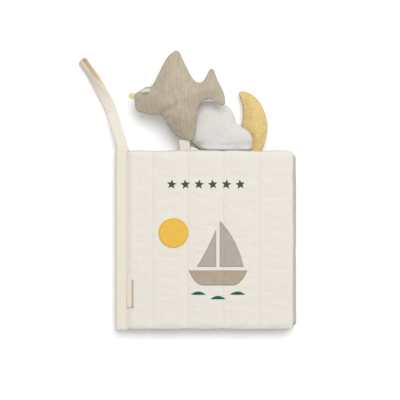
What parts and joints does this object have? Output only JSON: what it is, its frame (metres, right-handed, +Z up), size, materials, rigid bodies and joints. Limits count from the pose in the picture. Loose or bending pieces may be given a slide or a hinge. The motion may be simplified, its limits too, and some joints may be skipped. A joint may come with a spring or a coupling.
{
  "type": "cloth book",
  "caption": "Soft square cloth book with quilted covers, a bound spine with a hanging loop, and small stuffed toys at its head edge.",
  "frame": {"origin": "middle of the back cover's flat underside, on which the closed book lies", "axes": "+X from the spine to the fore edge, +Y to the head of the book where the loop and toys are, +Z up through the front cover"},
  "size_m": [0.245, 0.3137, 0.0427],
  "materials": {
    "quilted_cotton": "off-white cotton quilted over thin wadding",
    "page_cotton": "sage grey cotton quilted over thin wadding",
    "binding_cotton": "cream cotton strip, stitched",
    "cotton_strap": "cream cotton strap",
    "label_ribbon": "bare satin ribbon",
    "grey_muslin": "pale grey crinkled muslin",
    "mustard_cotton": "mustard yellow twill cotton",
    "taupe_linen": "taupe linen, slubby weave",
    "beak_cotton": "pale yellow cotton",
    "twill_tape": "cream twill tape",
    "taupe_patch": "taupe printed cotton patch",
    "grey_patch": "warm grey printed cotton patch",
    "mustard_patch": "mustard printed cotton patch",
    "teal_patch": "dark teal printed cotton patch"
  },
  "bodies": {
    "pages": {"page_block": "page_cotton", "spine_binding": "binding_cotton", "hanging_loop": "cotton_strap", "plush_cloud": "grey_muslin", "plush_moon": "mustard_cotton", "plush_bird": "taupe_linen", "bird_beak": "beak_cotton", "bird_tape": "twill_tape"},
    "front_cover": {"front_cover": "quilted_cotton", "side_label": "label_ribbon", "hull_patch": "taupe_patch", "main_sail_patch": "grey_patch", "jib_patch": "grey_patch", "sun_patch": "mustard_patch", "wave_patch_1": "teal_patch", "wave_patch_2": "teal_patch", "wave_patch_3": "teal_patch"},
    "back_cover": {"back_cover": "quilted_cotton"}
  },
  "joints": [
    {"name": "front_cover_hinge", "type": "hinge", "parent": "pages", "child": "front_cover", "pos_m": [-0.0874, 0, 0.0195], "axis": [0, -1, 0], "range_deg": [0, 180]},
    {"name": "back_cover_hinge", "type": "hinge", "parent": "pages", "child": "back_cover", "pos_m": [-0.0874, 0, 0.0015], "axis": [0, 1, 0], "range_deg": [0, 180]}
  ]
}
